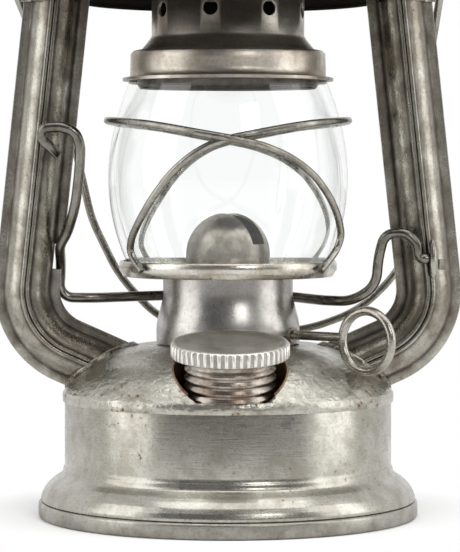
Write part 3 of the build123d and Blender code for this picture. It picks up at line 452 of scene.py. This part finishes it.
def lever_gap(bm):
    """Cuts the inner rib of the left tube away where the lift lever passes."""
    foot, head = LEVER_NOTCH
    for height in (head + NOTCH_EDGE, head - 0.1, foot + 0.1, foot - NOTCH_EDGE):
        bmesh.ops.bisect_plane(bm, geom=bm.verts[:] + bm.edges[:] + bm.faces[:],
                               plane_co=(0, 0, height * MM), plane_no=(0, 0, 1))
    for corner in bm.verts:
        if foot * MM < corner.co.z < head * MM:
            above_bend = corner.co.z / MM - ELBOW.z - ELBOW_RADIUS * sin(LEAN)
            middle = -(ELBOW.x + ELBOW_RADIUS * cos(LEAN) - above_bend * sin(LEAN) / cos(LEAN)) * MM
            corner.co.x = min(corner.co.x, middle + NOTCH_DEPTH)


for side, word in ((1, "right"), (-1, "left")):
    for outwards, half in ((1, "outer"), (-1, "inner")):
        node = f"{word}_tube_{half}"
        shell = tube_piece(node, side, outwards)
        if node == "left_tube_inner":
            lever_gap(shell)
        # Inner halves take the darker steel copy as painted shade.
        piece(shell, node + "_piece", [node], finish="shaded_inner_tube_steel" if half == "inner" else None)


LIP_SIZE = (1.65 * MM, 2.6 * MM)
LIP_OPENING = 1.1 * MM
TIP_SIZE = (2.7 * MM, 0.8 * MM, 3.0 * MM)
TIP_TURN = radians(42.0)
TIP_PLACE = Vector((4.6, 6.65, 3.7)) * MM


def socket_piece():
    """Pressed lip on the right tube over the lever's pin, with painted shade on its open side, and the pin's
    tip with painted shade on its front face.
    """
    low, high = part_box("lever_socket")
    bm = bmesh.new()
    bmesh.ops.create_uvsphere(bm, u_segments=40, v_segments=24, radius=1.0)
    bmesh.ops.scale(bm, verts=bm.verts, vec=(*LIP_SIZE, (high.z - low.z) / 2))
    middle = Vector((low.x + LIP_SIZE[0] + 0.01 * MM, low.y + LIP_SIZE[1], (low.z + high.z) / 2))
    bmesh.ops.translate(bm, verts=bm.verts, vec=middle)
    bmesh.ops.bisect_plane(bm, geom=bm.verts[:] + bm.edges[:] + bm.faces[:],
                           plane_co=(low.x + LIP_OPENING, 0, 0), plane_no=(-1, 0, 0), clear_outer=True)
    bmesh.ops.holes_fill(bm, edges=[e for e in bm.edges if e.is_boundary], sides=0)
    bm.normal_update()
    # Painted shade on the lip's open side, where the pin goes in.
    shade_and_grime = bm.faces.layers.float.new("shade_and_grime")
    for face in bm.faces:
        face[shade_and_grime] = 1.0 if face.normal.x < -0.9 else 0.0
    tip = bmesh.ops.create_cube(bm, size=1.0)["verts"]
    bmesh.ops.scale(bm, verts=tip, vec=TIP_SIZE)
    edges = list(dict.fromkeys(e for v in tip for e in v.link_edges))
    bmesh.ops.bevel(bm, geom=edges, offset=0.3 * MM, segments=3, profile=0.5, affect="EDGES", material=-1)
    tip = [v for v in bm.verts if abs(v.co.x) < TIP_SIZE[0]]
    # Painted shade on the tip's front face.
    for face in {f for v in tip for f in v.link_faces if f.normal.y < -0.9}:
        face[shade_and_grime] = 0.6
    bmesh.ops.rotate(bm, verts=tip, cent=(0, 0, 0), matrix=Matrix.Rotation(TIP_TURN, 3, "Z"))
    bmesh.ops.translate(bm, verts=tip, vec=low + TIP_PLACE)
    piece(bm, "lever_socket_piece", ["lever_socket"], 40.0, finish="tube_steel")


socket_piece()


# ---------------------------------------------------------------- tank
def tank_foot_piece():
    foot, land = 52.4, 49.8
    band = lathe([
        (0, 2.2), (land - 1.0, 2.2), (land, 0), (foot - 0.6, 0), (foot, 0.6), (foot, 3.9), (foot - 0.5, 4.4),
        (foot - 2.4, 4.4), (foot - 2.4, 3.8), (foot - 1.4, 3.4), (foot - 1.4, 1.4), (land + 0.6, 1.4),
        (land - 0.6, 2.8), (0, 2.8),
    ], rounding=0.3)
    # Dirt with painted shade: darker on the lower band near the floor, lighter above.
    shade_and_grime = band.verts.layers.float.new("shade_and_grime")
    for corner in band.verts:
        corner[shade_and_grime] = 0.45 if corner.co.z < 3.0 * MM else 0.2
    piece(band, "tank_foot_piece", ["tank_bottom"], finish="wall_steel")


def tank_wall_piece():
    wide, wall, top = 51.7, 45.1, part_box("tank_wall")[1].z / MM
    outside = [
        (wide - 1.9, 4.4), (wide - 0.1, 4.5), (wide, 5.4), (wide - 0.35, 6.6), (wide - 1.1, 8.0),
        (wide - 2.2, 9.3), (wide - 3.5, 10.4), (wide - 4.9, 11.3), (wide - 5.7, 11.9), (wall + 0.5, 12.7),
        (wall + 0.42, 13.5),
        (wall + 0.1, 14.1), (wall, 14.8), (wall, top),
    ]
    inside = [(wall - 0.6, top), (wall - 0.6, 12.4), (wall - 0.1, 11.2), (wide - 4.2, 9.7), (wide - 2.7, 8.5),
              (wide - 1.6, 7.0), (wide - 1.0, 5.6), (wide - 2.5, 4.4)]
    piece(lathe(outside + inside, rounding=0.25), "tank_wall_piece", ["tank_wall"], finish="wall_steel")


tank_foot_piece()
tank_wall_piece()


UPPER_SPRING = 16.0 * MM
CARRIAGE_TRAVEL = 9.9 * MM
CHIMNEY_TRAVEL = 7.0 * MM


def spring_piece():
    """Chimney spring cut in two lengths: the upper one rides on the lantern frame, the lower one on the globe
    carriage.
    """
    low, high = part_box("chimney_spring")
    parting = Vector((0, 0, high.z - UPPER_SPRING))
    for word, body, joint, end, travel in (
            ("upper", "lantern_frame", "carriage_lift", high.z, CARRIAGE_TRAVEL),
            ("lower", "globe_carriage", "chimney_lift", parting.z, CHIMNEY_TRAVEL)):
        bm = bmesh.new()
        bm.from_mesh(frame["nodes"]["chimney_spring"].data)
        bmesh.ops.remove_doubles(bm, verts=bm.verts, dist=2e-6)
        upper = word == "upper"
        bmesh.ops.bisect_plane(bm, geom=bm.verts[:] + bm.edges[:] + bm.faces[:], plane_co=parting,
                               plane_no=(0, 0, 1), clear_inner=upper, clear_outer=not upper)
        bmesh.ops.holes_fill(bm, edges=[e for e in bm.edges if e.is_boundary], sides=0)
        made = piece(bm, f"chimney_spring_{word}", ["chimney_spring"], 60.0)
        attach(made, body)
        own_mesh(made)


spring_piece()


# ---------------------------------------------------------------- pieces that keep their construction shape
replaced = {node for made in bpy.data.objects for node in made.get("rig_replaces", [])}
for name in frame["nodes"]:
    if name not in replaced:
        smoothed(name)


# ---------------------------------------------------------------- stage, light and camera
FLOOR_FADE = (0.053, 0.08)      # metres from the middle over which the floor turns to plain white
REFLECTED_ROOM = (("From Min", -0.5), ("From Max", 0.35), ("To Min", 0.17), ("To Max", 1.0))
DIFFUSE_LEVEL = 0.55
SEEN_LEVEL = 1.0


def stage_floor():
    """Pale floor that keeps the shadow near the foot and melts into the white further out."""
    bm = bmesh.new()
    bmesh.ops.create_grid(bm, x_segments=1, y_segments=1, size=3.0)
    mesh = bpy.data.meshes.new("stage_floor")
    bm.to_mesh(mesh)
    bm.free()
    floor = bpy.data.objects.new("stage_floor", mesh)
    bpy.context.scene.collection.objects.link(floor)
    made = Finish("stage_floor")
    grain = made.noise(3.0, 2.0)
    made.feed(made.shader, "Base Color", made.blend(grain, (0.95, 0.95, 0.95), (0.97, 0.97, 0.97)))
    made.shader.inputs["Roughness"].default_value = 0.7
    made.shader.inputs["Specular IOR Level"].default_value = 0.1
    away = made.add("ShaderNodeVectorMath", {"operation": "LENGTH"}, Vector=made.place).outputs["Value"]
    path = made.add("ShaderNodeLightPath")
    seen = made.math("MAXIMUM", path.outputs["Is Camera Ray"], path.outputs["Is Transmission Ray"])
    white = made.add("ShaderNodeEmission", Color=(1.0, 1.0, 1.0, 1.0), Strength=1.0)
    mixed = made.add("ShaderNodeMixShader")
    made.tree.links.new(made.math("MULTIPLY", seen, made.band(away, *FLOOR_FADE)), mixed.inputs[0])
    made.tree.links.new(made.shader.outputs[0], mixed.inputs[1])
    made.tree.links.new(white.outputs[0], mixed.inputs[2])
    made.tree.links.new(mixed.outputs[0], made.tree.nodes["Material Output"].inputs["Surface"])
    mesh.materials.append(made.material)


def studio_world():
    """White behind the lantern, and a dimmer room on the viewer's side."""
    world = bpy.data.worlds.new("studio")
    bpy.context.scene.world = world
    world.use_nodes = True
    tree = world.node_tree
    background = tree.nodes["Background"]
    way = tree.nodes.new("ShaderNodeTexCoord").outputs["Generated"]
    axes = tree.nodes.new("ShaderNodeSeparateXYZ")
    tree.links.new(way, axes.inputs[0])
    depth = tree.nodes.new("ShaderNodeMapRange")
    for key, number in REFLECTED_ROOM:
        depth.inputs[key].default_value = number
    tree.links.new(axes.outputs["Y"], depth.inputs["Value"])
    path = tree.nodes.new("ShaderNodeLightPath")
    glossy = tree.nodes.new("ShaderNodeMix")
    glossy.inputs[2].default_value = DIFFUSE_LEVEL
    tree.links.new(path.outputs["Is Glossy Ray"], glossy.inputs[0])
    tree.links.new(depth.outputs[0], glossy.inputs[3])
    seen = tree.nodes.new("ShaderNodeMath")
    seen.operation = "MAXIMUM"
    tree.links.new(path.outputs["Is Camera Ray"], seen.inputs[0])
    tree.links.new(path.outputs["Is Transmission Ray"], seen.inputs[1])
    level = tree.nodes.new("ShaderNodeMix")
    level.inputs[3].default_value = SEEN_LEVEL
    tree.links.new(seen.outputs[0], level.inputs[0])
    tree.links.new(glossy.outputs[0], level.inputs[2])
    tree.links.new(level.outputs[0], background.inputs["Strength"])
    background.inputs["Color"].default_value = (1.0, 1.0, 1.0, 1.0)


def softbox(name, place, aim, width, height, watts):
    lamp = bpy.data.lights.new(name, "AREA")
    lamp.shape = "RECTANGLE"
    lamp.size = width
    lamp.size_y = height
    lamp.energy = watts
    made = bpy.data.objects.new(name, lamp)
    made.location = place
    made.rotation_euler = (Vector(aim) - Vector(place)).to_track_quat("-Z", "Y").to_euler()
    bpy.context.scene.collection.objects.link(made)


stage_floor()
studio_world()
softbox("softbox_left", place=(-0.85, -0.3, 0.35), aim=(0, 0, 0.1), width=0.6, height=1.0, watts=3.6)
softbox("softbox_right", place=(0.85, -0.2, 0.35), aim=(0, 0, 0.1), width=0.6, height=1.0, watts=3.6)
softbox("softbox_top", place=(0.05, -0.25, 1.0), aim=(0, 0, 0.1), width=1.2, height=0.7, watts=5.0)
softbox("softbox_front", place=(0.36, -0.8, 0.55), aim=(0, 0, 0.08), width=0.3, height=0.3, watts=1.6)

camera_data = bpy.data.cameras.new("camera")
camera_data.lens = 167.0
camera_data.sensor_width = 36.0
camera_data.clip_start = 0.01
camera = bpy.data.objects.new("camera", camera_data)
camera.location = (0.0, -0.707, 0.094)
camera.rotation_euler = (radians(90 - 2.26), 0.0, radians(-0.045))
bpy.context.scene.collection.objects.link(camera)
bpy.context.scene.camera = camera
bpy.context.scene.view_settings.view_transform = "Standard"
